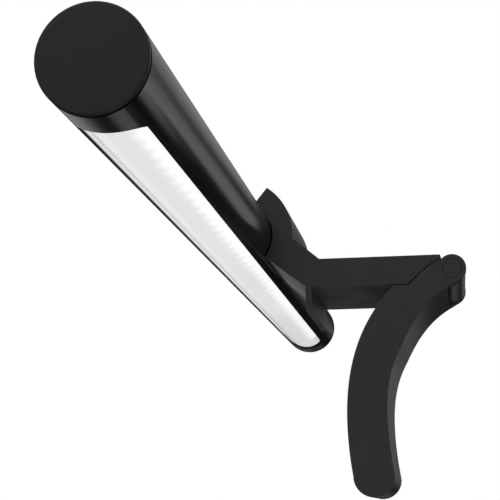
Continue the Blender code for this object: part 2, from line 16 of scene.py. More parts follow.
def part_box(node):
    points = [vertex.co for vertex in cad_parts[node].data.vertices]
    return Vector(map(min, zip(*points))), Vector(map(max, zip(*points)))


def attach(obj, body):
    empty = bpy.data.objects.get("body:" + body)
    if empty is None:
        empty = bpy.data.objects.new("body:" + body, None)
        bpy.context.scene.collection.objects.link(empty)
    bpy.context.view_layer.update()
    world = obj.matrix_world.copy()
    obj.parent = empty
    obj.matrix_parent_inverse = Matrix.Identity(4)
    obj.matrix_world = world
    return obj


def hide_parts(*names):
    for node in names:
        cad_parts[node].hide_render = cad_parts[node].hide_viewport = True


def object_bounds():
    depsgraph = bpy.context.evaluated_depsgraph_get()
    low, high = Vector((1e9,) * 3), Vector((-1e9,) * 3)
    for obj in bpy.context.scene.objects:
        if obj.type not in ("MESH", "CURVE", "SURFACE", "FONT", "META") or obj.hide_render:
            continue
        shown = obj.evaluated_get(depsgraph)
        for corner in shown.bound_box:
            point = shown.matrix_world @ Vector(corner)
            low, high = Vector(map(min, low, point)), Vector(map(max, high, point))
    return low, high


MM = 0.001

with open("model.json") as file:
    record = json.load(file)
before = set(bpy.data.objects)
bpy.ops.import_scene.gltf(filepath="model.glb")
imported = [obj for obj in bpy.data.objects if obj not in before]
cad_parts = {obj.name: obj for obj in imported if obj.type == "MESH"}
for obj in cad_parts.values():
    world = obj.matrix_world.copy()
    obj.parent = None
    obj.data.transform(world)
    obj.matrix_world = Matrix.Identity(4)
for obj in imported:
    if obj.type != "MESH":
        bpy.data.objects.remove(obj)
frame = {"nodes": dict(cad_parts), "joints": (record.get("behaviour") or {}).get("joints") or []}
cad_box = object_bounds()

pivots = {joint["name"]: Vector(joint["pos_m"]) for joint in frame["joints"]}
BAR_AXIS = pivots["bar_tilt"]
HINGE = pivots["counterweight_swing"]
BAR_CENTRE = (BAR_AXIS.y, BAR_AXIS.z)
HINGE_CENTRE = (HINGE.y, HINGE.z)

tube_low, tube_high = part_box("bar_tube")
lens_low, lens_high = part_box("diffuser")
BAR_RADIUS = (tube_high.z - tube_low.z) / 2
BAR_WALL = 1.5 * MM
TUBE_END = tube_high.x
BAR_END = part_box("end_cap_right")[1].x
CAP_THICKNESS = 1.2 * MM
GAP = 0.3 * MM
WINDOW_ANGLES = (-138.0, -52.3)
WINDOW_REACH = 209.65 * MM      # to the tip of each rounded end
WINDOW_END_RADIUS = 10.6 * MM
LENS_RADIUS = 11.28 * MM
FLANGE_INNER = 9.5 * MM
LED_PITCH = 9.0 * MM
INLET_HALF_LENGTH = 4.5 * MM
INLET_HALF_HEIGHT = 1.6 * MM
CRADLE_RADIUS = 19.7 * MM
KNUCKLE_RADIUS = 4.5 * MM
KNUCKLE_HALF_WIDTH = 21.7 * MM
KNUCKLE_BORE = 3.0 * MM
EAR_RADIUS = 4.7 * MM
EAR_INNER = 22.0 * MM
PIN_BORE = 1.8 * MM
PIN_CAP_RADIUS = 3.15 * MM
PIN_CAP_SPAN = (26.2 * MM, 27.4 * MM)
EDGE_ROUNDING = 0.28 * MM
PAD_RIBS = 22
SHEET_STEP = 2.0           # degrees between the columns of a rolled sheet
CREASE = 32.0              # degrees: edges sharper than this are rounded
ROOM_RADIANCE = 0.012
LENS_GLOW = 0.46
inlet_low, inlet_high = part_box("usb_c_port")
INLET = (inlet_low + inlet_high) / 2


# Camera, stage and light

def aim(item, direction, roll=0.0):
    """Turns a camera or lamp so that it looks along the direction."""
    turn = Vector(direction).to_track_quat("-Z", "Y").to_matrix().to_4x4()
    item.matrix_world = (
        Matrix.Translation(item.location) @ turn @ Matrix.Rotation(math.radians(roll), 4, "Z"))


def make_camera():
    lens = bpy.data.cameras.new("camera")
    lens.lens = 103.3
    lens.sensor_width = 36.0
    lens.clip_start = 0.01
    camera = bpy.data.objects.new("camera", lens)
    bpy.context.scene.collection.objects.link(camera)
    camera.location = (0.50375, 0.03411, -0.07582)
    aim(camera, (-0.97338, -0.13826, 0.18277), roll=-0.695)
    bpy.context.scene.camera = camera


def panel(name, location, target, size, power):
    """A soft square lamp that the camera doesn't see."""
    light = bpy.data.lights.new(name, "AREA")
    light.shape = "SQUARE"
    light.size = size
    light.energy = power
    lamp = bpy.data.objects.new(name, light)
    bpy.context.scene.collection.objects.link(lamp)
    lamp.location = location
    aim(lamp, Vector(target) - Vector(location))
    lamp.visible_camera = False


def studio_direction(azimuth, elevation):
    """A unit vector: azimuth in degrees from +X towards +Y, elevation above the horizon."""
    turn, rise = math.radians(azimuth), math.radians(elevation)
    return Vector((math.cos(turn) * math.cos(rise), math.sin(turn) * math.cos(rise), math.sin(rise)))


SOFTBOXES = (           # azimuth, elevation, full-brightness radius, outer radius, radiance
    (180.0, 62.0, 18.0, 42.0, 0.55),
    (80.0, 38.0, 14.0, 34.0, 0.90),
    (-80.0, 38.0, 14.0, 34.0, 0.90),
    (0.0, 58.0, 8.0, 24.0, 0.55),
    (170.5, 19.5, 4.0, 8.5, 0.38),
    (177.0, 20.5, 4.0, 8.5, 0.44),
    (-176.5, 20.5, 4.0, 8.5, 0.40),
    (163.5, 11.0, 1.5, 7.0, 0.15),
    (165.5, 4.0, 1.0, 7.0, 0.40),
    (158.5, 4.0, 0.0, 8.0, 0.56),
    (158.0, -2.0, 0.0, 10.0, 0.74),
    (175.2, -20.0, 0.5, 11.0, 0.46),
    (-158.5, 0.0, 5.0, 15.0, 0.50),
    (-161.0, -8.5, 2.0, 9.5, 0.24),
    (-172.0, -10.5, 3.0, 6.5, 0.22),
)


def make_world():
    """White to the camera. What lights the object is a dim room with soft panels round it."""
    world = bpy.data.worlds.new("studio")
    bpy.context.scene.world = world
    world.use_nodes = True
    tree = world.node_tree
    tree.nodes.clear()

    def add(kind, **settings):
        node = tree.nodes.new(kind)
        for key, value in settings.items():
            setattr(node, key, value)
        return node

    def math_node(operation, first, second):
        node = add("ShaderNodeMath", operation=operation)
        for socket, value in zip(node.inputs, (first, second)):
            if hasattr(value, "type"):
                tree.links.new(value, socket)
            else:
                socket.default_value = value
        return node.outputs[0]

    direction = add("ShaderNodeTexCoord").outputs["Generated"]

    def lobe(towards, inner, outer, radiance):
        dot = add("ShaderNodeVectorMath", operation="DOT_PRODUCT")
        tree.links.new(direction, dot.inputs[0])
        dot.inputs[1].default_value = towards
        fade = add("ShaderNodeMapRange", interpolation_type="SMOOTHSTEP")
        tree.links.new(dot.outputs["Value"], fade.inputs["Value"])
        fade.inputs["From Min"].default_value = math.cos(math.radians(outer))
        fade.inputs["From Max"].default_value = math.cos(math.radians(inner))
        fade.inputs["To Min"].default_value = 0.0
        fade.inputs["To Max"].default_value = radiance
        return fade.outputs["Result"]

    total = math_node("ADD", ROOM_RADIANCE, lobe(Vector((1, 0, 0)), 50.0, 95.0, 0.30))
    for azimuth, elevation, inner, outer, radiance in SOFTBOXES:
        box = lobe(studio_direction(azimuth, elevation), inner, outer, radiance)
        total = math_node("MAXIMUM", total, box)

    lighting = add("ShaderNodeBackground")
    tree.links.new(total, lighting.inputs["Strength"])
    backdrop = add("ShaderNodeBackground")
    backdrop.inputs["Color"].default_value = (1, 1, 1, 1)
    mix = add("ShaderNodeMixShader")
    tree.links.new(add("ShaderNodeLightPath").outputs["Is Camera Ray"], mix.inputs[0])
    tree.links.new(lighting.outputs[0], mix.inputs[1])
    tree.links.new(backdrop.outputs[0], mix.inputs[2])
    tree.links.new(mix.outputs[0], add("ShaderNodeOutputWorld").inputs["Surface"])


# Finishes

class Finish:
    """A Principled material, with short ways to add nodes. Its coordinates are the row frame's, in metres."""

    def __init__(self, name, colour, roughness, metallic=0.0):
        self.material = bpy.data.materials.new(name)
        self.material.use_nodes = True
        self.tree = self.material.node_tree
        self.shader = self.tree.nodes["Principled BSDF"]
        self.shader.inputs["Base Color"].default_value = (*colour, 1.0)
        self.shader.inputs["Roughness"].default_value = roughness
        self.shader.inputs["Metallic"].default_value = metallic
        self.place = self.add("ShaderNodeTexCoord").outputs["Object"]

    def add(self, kind, **settings):
        node = self.tree.nodes.new(kind)
        for key, value in settings.items():
            setattr(node, key, value)
        return node

    def feed(self, socket, value):
        if hasattr(value, "is_linked"):
            self.tree.links.new(value, socket)
        else:
            socket.default_value = value

    def maths(self, operation, first, second=0.0):
        node = self.add("ShaderNodeMath", operation=operation)
        self.feed(node.inputs[0], first)
        self.feed(node.inputs[1], second)
        return node.outputs[0]

    def noise(self, scale, detail=2.0, stretch=(1, 1, 1)):
        spread = self.add("ShaderNodeMapping")
        self.feed(spread.inputs["Vector"], self.place)
        spread.inputs["Scale"].default_value = stretch
        texture = self.add("ShaderNodeTexNoise")
        self.feed(texture.inputs["Vector"], spread.outputs[0])
        texture.inputs["Scale"].default_value = scale
        texture.inputs["Detail"].default_value = detail
        return texture.outputs["Fac"]

    def between(self, value, low, high, start=0.3, end=0.7):
        """Low up to the value start, high from the value end, and smooth between them."""
        node = self.add("ShaderNodeMapRange", interpolation_type="SMOOTHSTEP")
        self.feed(node.inputs["Value"], value)
        self.feed(node.inputs["From Min"], start)
        self.feed(node.inputs["From Max"], end)
        node.inputs["To Min"].default_value = low
        node.inputs["To Max"].default_value = high
        return node.outputs["Result"]

    def around_bar(self):
        """Place along the bar, distance from its axis in millimetres, and angle round it in degrees."""
        split = self.add("ShaderNodeSeparateXYZ")
        self.feed(split.inputs[0], self.place)
        back = self.maths("SUBTRACT", split.outputs["Y"], BAR_AXIS.y)
        rise = self.maths("SUBTRACT", split.outputs["Z"], BAR_AXIS.z)
        squares = self.maths("ADD", self.maths("MULTIPLY", back, back), self.maths("MULTIPLY", rise, rise))
        radius = self.maths("DIVIDE", self.maths("SQRT", squares, 0.0), MM)
        angle = self.maths("MULTIPLY", self.maths("ARCTAN2", rise, back), 180.0 / math.pi)
        return split.outputs["X"], radius, angle

    def blend(self, factor, first, second):
        node = self.add("ShaderNodeMix", data_type="RGBA")
        self.feed(node.inputs["Factor"], factor)
        node.inputs["A"].default_value = (*first, 1.0)
        node.inputs["B"].default_value = (*second, 1.0)
        return node.outputs["Result"]

    def set(self, name, value):
        self.feed(self.shader.inputs[name], value)

    def bump(self, height, depth, strength=1.0):
        """Relief on top of any relief there already. Depth is in metres."""
        node = self.add("ShaderNodeBump")
        node.inputs["Strength"].default_value = strength
        node.inputs["Distance"].default_value = depth
        self.feed(node.inputs["Height"], height)
        before = self.shader.inputs["Normal"].links
        if before:
            self.feed(node.inputs["Normal"], before[0].from_socket)
        self.feed(self.shader.inputs["Normal"], node.outputs["Normal"])


def moulded_plastic(name, colour, roughness):
    """Black plastic from a spark-eroded mould: a fine even grain with a faint mottle."""
    finish = Finish(name, colour, roughness)
    lighter = tuple(channel * 1.25 for channel in colour)
    finish.set("Base Color", finish.blend(finish.noise(260.0, 4.0), colour, lighter))
    finish.set("Roughness", finish.between(finish.noise(70.0, 3.0), roughness - 0.04, roughness + 0.05))
    finish.bump(finish.noise(3200.0, 2.0), 0.00002, 0.6)
    return finish


def anodised():
    """Fine-blasted aluminium, anodised black, with the faint lines that the extrusion die leaves, and a
    painted glow on the foot of the window's front wall.
    """
    finish = Finish("anodised", (0.005, 0.005, 0.006), 0.19)
    finish.set("Base Color", finish.blend(
        finish.noise(150.0, 3.0), (0.004, 0.004, 0.0045), (0.007, 0.007, 0.0075)))
    lines = finish.noise(1.0, 3.0, (3.0, 900.0, 900.0))
    finish.set("Roughness", finish.between(lines, 0.17, 0.21))
    finish.bump(finish.noise(5200.0, 2.0), 0.000003, 0.2)
    finish.bump(lines, 0.000002, 0.3)
    # Painted light: an emission glow on the foot of the window's front wall, standing in for the lens's light
    # falling there
    along, radius, angle = finish.around_bar()
    painted_wall_glow = finish.between(radius, 0.95, 0.0, 11.3, 12.02)
    limits = (
        finish.between(angle, 1.0, 0.0, -132.0, -122.0),
        finish.between(angle, 0.0, 1.0, -150.0, -140.0),
        finish.between(radius, 0.0, 1.0, 11.05, 11.15),
        finish.between(along, 0.3, 1.0, -200 * MM, -170 * MM),
        finish.between(along, 1.0, 0.0, 211 * MM, 212 * MM))
    for limit in limits:
        painted_wall_glow = finish.maths("MULTIPLY", painted_wall_glow, limit)
    # The painted glow is emitted by the tube's own finish, not by a lamp
    finish.set("Emission Color", (0.985, 0.99, 1.0, 1.0))
    finish.set("Emission Strength", painted_wall_glow)
    return finish


def milky():
    """The lit lens: a pale glow, with the pool of each light package along its rear edge, a little brighter
    towards its front, painted shade along its front edge, and darker towards both ends.
    """
    finish = Finish("milky_lens", (0.80, 0.81, 0.82), 0.38)
    along, _, angle = finish.around_bar()
    # Millimetres across the window from its rear edge
    across = finish.maths(
        "MULTIPLY", finish.maths("SUBTRACT", WINDOW_ANGLES[1], angle), math.radians(1) * 11.9)
    phase = finish.maths("MULTIPLY", finish.maths("ADD", along, LED_PITCH / 2), 2 * math.pi / LED_PITCH)
    wave = finish.maths("MULTIPLY", finish.maths("COSINE", phase), 0.5)
    edge = finish.maths("ADD", finish.maths("SUBTRACT", across, 3.2), wave)
    pool = finish.between(edge, 0.28, 0.0, -2.1, 2.3)
    glow = finish.maths("MULTIPLY", pool, finish.between(along, 0.0, 1.0, -189 * MM, -182 * MM))
    front = finish.maths(
        "MULTIPLY", finish.between(across, 0.0, 0.06, 8.5, 12.8),
        finish.between(along, 0.4, 1.5, -20 * MM, 150 * MM))
    # Painted shade: the glow is turned down along the lens's front strip, standing in for shade on its
    # rounded front edge
    border = finish.between(across, 0.0, -0.17, 12.3, 13.8)
    near = finish.between(along, 0.0, -0.085, -20 * MM, 190 * MM)
    far = finish.between(along, -0.08, 0.0, -120 * MM, -60 * MM)
    level = LENS_GLOW
    for part in (glow, front, border, near, far):
        level = finish.maths("ADD", level, part)
    finish.set("Emission Color", (0.985, 0.99, 1.0, 1.0))
    finish.set("Emission Strength", level)
    finish.bump(finish.noise(2600.0, 2.0), 0.000008, 0.4)
    return finish


def rubber():
    finish = Finish("silicone", (0.014, 0.014, 0.014), 0.78)
    finish.set("Roughness", finish.between(finish.noise(90.0, 3.0), 0.72, 0.84))
    finish.bump(finish.noise(1500.0, 3.0), 0.00002, 0.5)
    return finish


def metal(name, colour, roughness, stretch=(1, 1, 1), depth=0.000006):
    finish = Finish(name, colour, roughness, 1.0)
    darker = tuple(channel * 0.82 for channel in colour)
    finish.set("Base Color", finish.blend(finish.noise(120.0, 3.0), darker, colour))
    lines = finish.noise(1200.0, 2.0, stretch)
    finish.set("Roughness", finish.between(lines, roughness - 0.07, roughness + 0.08))
    finish.bump(lines, depth, 0.5)
    return finish


def pale_plastic(name, colour, roughness):
    finish = Finish(name, colour, roughness)
    darker = tuple(channel * 0.93 for channel in colour)
    finish.set("Base Color", finish.blend(finish.noise(200.0, 3.0), darker, colour))
    finish.set("Roughness", finish.between(finish.noise(90.0, 3.0), roughness - 0.05, roughness + 0.06))
    finish.bump(finish.noise(2400.0, 2.0), 0.00001, 0.4)
    return finish


def circuit_board():
    """Green lacquer with the copper tracks showing as faint darker lines."""
    finish = Finish("circuit_board", (0.02, 0.12, 0.05), 0.38)
    tracks = finish.add("ShaderNodeTexBrick")
    finish.feed(tracks.inputs["Vector"], finish.place)
    tracks.inputs["Scale"].default_value = 260.0
    tracks.inputs["Mortar Size"].default_value = 0.03
    finish.set("Base Color", finish.blend(tracks.outputs["Fac"], (0.015, 0.10, 0.04), (0.05, 0.24, 0.10)))
    finish.set("Roughness", finish.between(finish.noise(150.0), 0.30, 0.45))
    finish.bump(tracks.outputs["Fac"], 0.00003, 0.6)
    return finish


def make_finishes():
    return {
        "black_anodised_tube": anodised(),
        "end_cap_plastic": moulded_plastic("cap_plastic", (0.0076, 0.0076, 0.0080), 0.52),
        "bracket_plastic": moulded_plastic("bracket_plastic", (0.027, 0.027, 0.028), 0.36),
        "milky_diffuser": milky(),
        "white_reflector": pale_plastic("reflector_white", (0.86, 0.86, 0.84), 0.40),
        "bush_plastic": pale_plastic("acetal", (0.78, 0.77, 0.72), 0.42),
        "bare_aluminium": metal("aluminium", (0.72, 0.73, 0.74), 0.34, (0.02, 1, 1)),
        "bright_steel": metal("steel", (0.62, 0.62, 0.63), 0.26),
        "ballast_iron": metal("iron", (0.30, 0.29, 0.28), 0.52, depth=0.00002),
        "black_silicone": rubber(),
        "led_board_white": pale_plastic("led_board", (0.80, 0.80, 0.74), 0.40),
        "circuit_board": circuit_board(),
    }


# Shapes

def add_object(name, shape):
    """A new object from a bmesh, which is freed."""
    mesh = bpy.data.meshes.new(name)
    shape.to_mesh(mesh)
    shape.free()
    item = bpy.data.objects.new(name, mesh)
    bpy.context.scene.collection.objects.link(item)
    return item


def apply_modifiers(item):
    bpy.context.view_layer.update()
    evaluated = item.evaluated_get(bpy.context.evaluated_depsgraph_get())
    mesh = bpy.data.meshes.new_from_object(evaluated)
    item.modifiers.clear()
    old, item.data = item.data, mesh
    bpy.data.meshes.remove(old)


def combine(target, tool, operation="DIFFERENCE"):
    """A Boolean, applied at once. The tool is used up."""
    step = target.modifiers.new("boolean", "BOOLEAN")
    step.operation = operation
    step.solver = "EXACT"
    step.object = tool
    apply_modifiers(target)
    bpy.data.objects.remove(tool)


def round_edges(item, width, segments=3):
    """Rounds every edge sharper than CREASE, then weights the normals so that flat faces shade flat."""
    edges = item.modifiers.new("rounding", "BEVEL")
    edges.width = width
    edges.segments = segments
    edges.limit_method = "ANGLE"
    edges.angle_limit = math.radians(CREASE)
    item.data.shade_smooth()
    normals = item.modifiers.new("normals", "WEIGHTED_NORMAL")
    normals.weight = 100
    normals.keep_sharp = True
    apply_modifiers(item)


def join(first, *others):
    """All the pieces as one object, the first."""
    shape = bmesh.new()
    for item in (first, *others):
        shape.from_mesh(item.data)
    shape.to_mesh(first.data)
    shape.free()
    for item in others:
        bpy.data.objects.remove(item)
    return first


def arc(centre, radius, start, end, steps):
    """Points (y, z) round the centre, from the start angle to the end angle, in degrees."""
    angles = [math.radians(start + (end - start) * step / steps) for step in range(steps + 1)]
    return [(centre[0] + radius * math.cos(a), centre[1] + radius * math.sin(a)) for a in angles]


def circle(centre, radius, steps=64):
    return arc(centre, radius, 0.0, 360.0, steps)[:-1]


def millimetres(points):
    return [(y * MM, z * MM) for y, z in points]


def from_bar(y, z):
    """Millimetres from the bar's axis, as (y, z) in the row frame."""
    return (BAR_CENTRE[0] + y * MM, BAR_CENTRE[1] + z * MM)


def prism(name, outline, low, high, axis="X"):
    """An outline drawn out from low to high. It is (y, z) along X, or (x, z) along Y."""
    shape = bmesh.new()
    ends = []
    for depth in (low, high):
        if axis == "X":
            ends.append([shape.verts.new((depth, u, v)) for u, v in outline])
        else:
            ends.append([shape.verts.new((u, depth, v)) for u, v in outline])
    shape.faces.new(ends[0])
    shape.faces.new(ends[1])
    for index in range(len(outline)):
        after = (index + 1) % len(outline)
        shape.faces.new((ends[0][index], ends[0][after], ends[1][after], ends[1][index]))
    bmesh.ops.recalc_face_normals(shape, faces=shape.faces)
    return add_object(name, shape)


def lathe(name, profile, centre, steps):
    """A profile of (x, radius) points turned about a line along X through the centre (y, z)."""
    shape = bmesh.new()
    rings = []
    for x, radius in profile:
        if radius < 1e-7:
            rings.append([shape.verts.new((x, *centre))])
        else:
            rings.append([shape.verts.new((x, y, z)) for y, z in circle(centre, radius, steps)])
    closed = profile[0][1] > 1e-7
    pairs = list(zip(rings, rings[1:] + rings[:1])) if closed else list(zip(rings, rings[1:]))
    for first, second in pairs:
        for index in range(steps):
            after = (index + 1) % steps
            corners = [first[index % len(first)], first[after % len(first)],
                       second[after % len(second)], second[index % len(second)]]
            shape.faces.new(list(dict.fromkeys(corners)))
    bmesh.ops.recalc_face_normals(shape, faces=shape.faces)
    item = add_object(name, shape)
    item.data.shade_smooth()
    item.data.set_sharp_from_angle(angle=math.radians(28))
    return item


def rounded_box(low, high, radius, steps=6):
    """A rectangle's outline with rounded corners, from its low and high corners."""
    points = []
    for (u, v), start in (
            ((high[0] - radius, low[1] + radius), -90), ((high[0] - radius, high[1] - radius), 0),
            ((low[0] + radius, high[1] - radius), 90), ((low[0] + radius, low[1] + radius), 180)):
        points += arc((u, v), radius, start, start + 90, steps)
    return points


def inside(point, loop):
    """True if the point is within the closed loop, by counting crossings."""
    hit = False
    for (u0, v0), (u1, v1) in zip(loop, loop[1:] + loop[:1]):
        if (v0 > point[1]) != (v1 > point[1]):
            if point[0] < (u1 - u0) * (point[1] - v0) / (v1 - v0) + u0:
                hit = not hit
    return hit


def rolled_sheet(name, radius, thickness, border, holes=(), closed=False):
    """A flat sheet with holes, rolled round the bar's axis and thickened inwards.

    The border and the holes are loops of (arc length at this radius, x)."""
    loops = [border, *holes]
    points, edges = [], []
    for loop in loops:
        first = len(points)
        points += [Vector(p) for p in loop]
        edges += [(first + i, first + (i + 1) % len(loop)) for i in range(len(loop))]
    low, high = min(p[0] for p in border), max(p[0] for p in border)
    bottom, top = min(p[1] for p in border), max(p[1] for p in border)
    columns = round(math.degrees((high - low) / radius) / SHEET_STEP)
    for column in range(1, columns):
        u = low + (high - low) * column / columns
        points += [Vector((u, bottom - 1 * MM)), Vector((u, top + 1 * MM))]
        edges.append((len(points) - 2, len(points) - 1))
    flat, _, faces = delaunay_2d_cdt(points, edges, [], 0, 1e-8)[:3]
    shape = bmesh.new()
    corners = [shape.verts.new((0.0, p[0], p[1])) for p in flat]
    for face in faces:
        middle = sum((flat[i] for i in face), Vector((0, 0))) / len(face)
        if inside(middle, border) and not any(inside(middle, hole) for hole in holes):
            shape.faces.new([corners[i] for i in face])
    bmesh.ops.delete(shape, geom=[v for v in shape.verts if not v.link_faces], context="VERTS")
    for vert in shape.verts:
        turn = vert.co.y / radius
        vert.co = Vector((
            vert.co.z, BAR_AXIS.y + radius * math.cos(turn), BAR_AXIS.z + radius * math.sin(turn)))
    if closed:
        bmesh.ops.remove_doubles(shape, verts=shape.verts, dist=1e-6)
    bmesh.ops.dissolve_limit(
        shape, angle_limit=math.radians(0.2), verts=shape.verts, edges=shape.edges, delimit={"NORMAL"})
    bmesh.ops.recalc_face_normals(shape, faces=shape.faces)
    sample = shape.faces[:][0]
    outward = sample.calc_center_median() - Vector((sample.calc_center_median().x, *BAR_CENTRE))
    if sample.normal.dot(outward) < 0:
        bmesh.ops.reverse_faces(shape, faces=shape.faces)
    item = add_object(name, shape)
    solid = item.modifiers.new("thickness", "SOLIDIFY")
    solid.thickness = thickness
    solid.offset = -1.0
    solid.use_even_offset = True
    apply_modifiers(item)
    return item


def arc_length(degrees, radius):
    return math.radians(degrees) * radius


# The bar

def window_border(radius, inset=0.0):
    """The window's outline with its rounded ends, rolled out flat at this radius, as (arc length, x)."""
    middle = arc_length(sum(WINDOW_ANGLES) / 2, radius)
    half = arc_length((WINDOW_ANGLES[1] - WINDOW_ANGLES[0]) / 2, BAR_RADIUS)
    turn = math.asin(half / WINDOW_END_RADIUS)
    end_radius = WINDOW_END_RADIUS - inset
    centre = WINDOW_REACH - WINDOW_END_RADIUS
    points = []
    for side in (1, -1):
        for step in range(41):
            angle = turn * (step / 20 - 1)
            across = end_radius * math.sin(angle) * radius / BAR_RADIUS
            points.append((middle + side * across, side * (centre + end_radius * math.cos(angle))))
    return points


def make_tube():
    """The extrusion, with a round-ended window for the lens and a slot for the inlet."""
    seam = 120.0
    border = [
        (arc_length(seam - 360, BAR_RADIUS), -TUBE_END), (arc_length(seam, BAR_RADIUS), -TUBE_END),
        (arc_length(seam, BAR_RADIUS), TUBE_END), (arc_length(seam - 360, BAR_RADIUS), TUBE_END)]
    height = INLET.z - BAR_AXIS.z
    corners = rounded_box(
        (height - 2 * MM, INLET.x - 4.9 * MM), (height + 2 * MM, INLET.x + 4.9 * MM), 1.95 * MM, 8)
    slot = [(BAR_RADIUS * math.asin(z / BAR_RADIUS), x) for z, x in corners]
    tube = rolled_sheet(
        "tube_shell", BAR_RADIUS, BAR_WALL, border, (window_border(BAR_RADIUS), slot), closed=True)
    round_edges(tube, 0.18 * MM, 2)
    return tube


def make_lens():
    """The curved face that fills the window, on a wider flange behind the window's edges."""
    face = rolled_sheet("lens", LENS_RADIUS, 1.6 * MM, window_border(LENS_RADIUS, GAP))
    round_edges(face, 0.35 * MM, 3)
    flange_radius = BAR_RADIUS - BAR_WALL - GAP
    low, high = (arc_length(angle, flange_radius) for angle in (WINDOW_ANGLES[0] - 4, WINDOW_ANGLES[1] + 4))
    border = rounded_box((low, lens_low.x), (high, lens_high.x), 0.5 * MM, 8)
    flange = rolled_sheet("lens_flange", flange_radius, flange_radius - FLANGE_INNER, border)
    round_edges(flange, 0.1 * MM, 1)
    return join(face, flange)


def make_cap(side):
    """A disc with a finely rounded rim."""
    outer, inner = BAR_END, BAR_END - CAP_THICKNESS
    rim = 0.42 * MM
    profile = [(outer, 0.0)]
    profile += [(outer, BAR_RADIUS * share) for share in (0.3, 0.6, 0.85)]
    for step in range(9):
        turn = math.pi / 2 * step / 8
        profile.append((outer - rim + rim * math.cos(turn), BAR_RADIUS - rim + rim * math.sin(turn)))
    profile += [(inner + 0.1 * MM, BAR_RADIUS), (inner, BAR_RADIUS - 0.1 * MM), (inner, 0.0)]
    word = "right" if side > 0 else "left"
    return lathe(f"cap_disc_{word}", [(side * x, r) for x, r in profile], BAR_CENTRE, 200)


def make_cap_ring(side):
    start = BAR_END - CAP_THICKNESS - 0.2 * MM
    end = start - 0.6 * MM
    outer, inner, edge = 12.0 * MM, 9.0 * MM, 0.12 * MM
    profile = [
        (start, inner), (start, outer - edge), (start - edge, outer),
        (end + edge, outer), (end, outer - edge), (end, inner)]
    word = "right" if side > 0 else "left"
    return lathe(f"cap_ring_{word}", [(side * x, r) for x, r in profile], BAR_CENTRE, 120)


def make_inlet():
    """The inlet's rounded metal shell, open to the back, with the contact tongue inside."""
    mouth, back = inlet_high.y, inlet_low.y
    height = INLET.z

    def slot_outline(half_length, half_height):
        return rounded_box(
            (INLET.x - half_length, height - half_height), (INLET.x + half_length, height + half_height),
            half_height * 0.98, 8)

    shell = prism("inlet_shell", slot_outline(INLET_HALF_LENGTH, INLET_HALF_HEIGHT), back, mouth, "Y")
    opening = slot_outline(INLET_HALF_LENGTH - 0.3 * MM, INLET_HALF_HEIGHT - 0.32 * MM)
    combine(shell, prism("cutter", opening, back + 1.0 * MM, mouth + 1.0 * MM, "Y"))
    round_edges(shell, 0.08 * MM, 2)
    tongue = prism("inlet_tongue", rounded_box(
        (INLET.x - 3.3 * MM, height - 0.35 * MM), (INLET.x + 3.3 * MM, height + 0.35 * MM), 0.2 * MM, 3),
        back + 0.8 * MM, mouth - 1.4 * MM, "Y")
    round_edges(tongue, 0.05 * MM, 1)
    return shell, tongue


# The bracket

def bracket_outline():
    seat = BAR_RADIUS + GAP
    jaw = arc(BAR_CENTRE, seat, -37.0, 36.0, 48)
    for step in range(1, 17):
        angle = 36.0 + 21.6 * step / 16
        lift = 0.0024 * MM * (angle - 36.0) ** 2
        jaw.append(arc(BAR_CENTRE, seat + lift, angle, angle, 1)[0])
    back = arc(BAR_CENTRE, CRADLE_RADIUS, 55.6, -5.0, 48)
    arm = millimetres([
        (-9.98, 9.7), (30.5, 9.7), (30.9, 8.6), (28.5, 7.5), (24.1, 4.42), (19.7, 0.15), (12.0, 0.15),
        (12.0, 0.0), (-12.7, 0.0), (-12.7, -7.9), (-14.8, -7.9), (-14.8, 0.44)])
    return jaw + back + arm + [from_bar(14.35, -11.32)]


def make_bracket():
    """Cradle, neck, arm, front lip and hinge knuckle in one moulding."""
    low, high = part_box("bracket")
    body = prism("bracket_moulding", bracket_outline(), low.x, high.x)
    knuckle = arc(HINGE_CENTRE, KNUCKLE_RADIUS, -135.0, 92.0, 64)
    knuckle += millimetres([(25.0, 9.2), (22.0, 7.0), (25.4, 5.9)])
    combine(body, prism("knuckle", knuckle, -KNUCKLE_HALF_WIDTH, KNUCKLE_HALF_WIDTH), "UNION")
    combine(body, prism("bore", circle(HINGE_CENTRE, KNUCKLE_BORE, 48), -24 * MM, 24 * MM))
    recess = arc(BAR_CENTRE, 14.1 * MM, -31, 41, 40) + arc(BAR_CENTRE, 11.0 * MM, 41, -31, 40)
    combine(body, prism("recess", recess, -23.8 * MM, 23.8 * MM))
    round_edges(body, EDGE_ROUNDING, 3)
    return body


# The counterweight

def bezier(start, start_handle, end_handle, end, steps=64):
    controls = [Vector((y, z, 0.0)) * MM for y, z in (start, start_handle, end_handle, end)]
    return [(p.x, p.y) for p in interpolate_bezier(*controls, steps)]


FRONT_CURVE = bezier((14.87, -0.2), (1.84, -13.28), (-5.15, -31.55), (-0.25, -63.3))
REAR_CURVE = (
    bezier((37.04, 1.09), (33.25, -1.48), (25.14, -3.88), (17.7, -18.92), 40)
    + bezier((17.7, -18.92), (14.76, -24.85), (8.39, -32.82), (13.42, -63.3), 56)[1:])


def offset(points, distance):
    """The same curve moved sideways by the distance, towards the rear for a positive one."""
    moved = []
    for index, (y, z) in enumerate(points):
        before, after = points[max(index - 1, 0)], points[min(index + 1, len(points) - 1)]
        along = Vector((after[0] - before[0], after[1] - before[1])).normalized()
        moved.append((y - along.y * distance, z + along.x * distance))
    return moved


def between_heights(points, top, bottom):
    """The stretch of a falling curve from the height top down to the height bottom, cut exactly."""
    kept = []
    for (y0, z0), (y1, z1) in zip(points, points[1:]):
        if bottom < z0 < top:
            kept.append((y0, z0))
        for height in (top, bottom):
            if z0 > height >= z1:
                share = (z0 - height) / (z0 - z1)
                kept.append((y0 + (y1 - y0) * share, height))
    return kept


